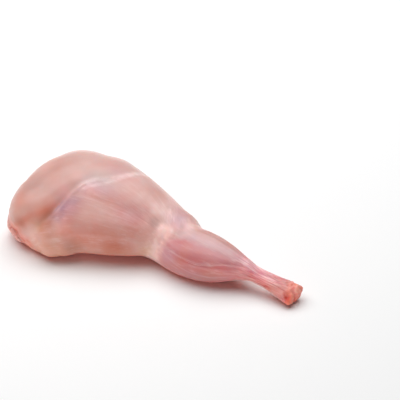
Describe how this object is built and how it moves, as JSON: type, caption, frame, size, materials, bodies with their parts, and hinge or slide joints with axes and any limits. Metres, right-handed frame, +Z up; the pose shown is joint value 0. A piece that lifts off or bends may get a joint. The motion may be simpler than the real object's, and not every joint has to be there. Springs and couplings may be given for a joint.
{
  "type": "raw rabbit hind leg",
  "caption": "Skinned raw hind leg lying on its inner side: rounded rump, full thigh, knee, tapering calf and a bare ankle cut off square.",
  "frame": {"origin": "middle of the leg's bounding box, on the surface that the leg lies on", "axes": "+X from the hip end to the cut at the hock, +Y towards the kneecap side, +Z up"},
  "size_m": [0.1947, 0.0808, 0.0458],
  "materials": {
    "raw_flesh": "moist, satin, pale pink flesh under a thin clear membrane",
    "tendon": "glossy pale tendon and membrane",
    "cut_face": "moist, rough, coral red cut through joint, gristle and bone"
  },
  "bodies": {
    "root": {"rabbit_leg": "raw_flesh"}
  },
  "joints": []
}
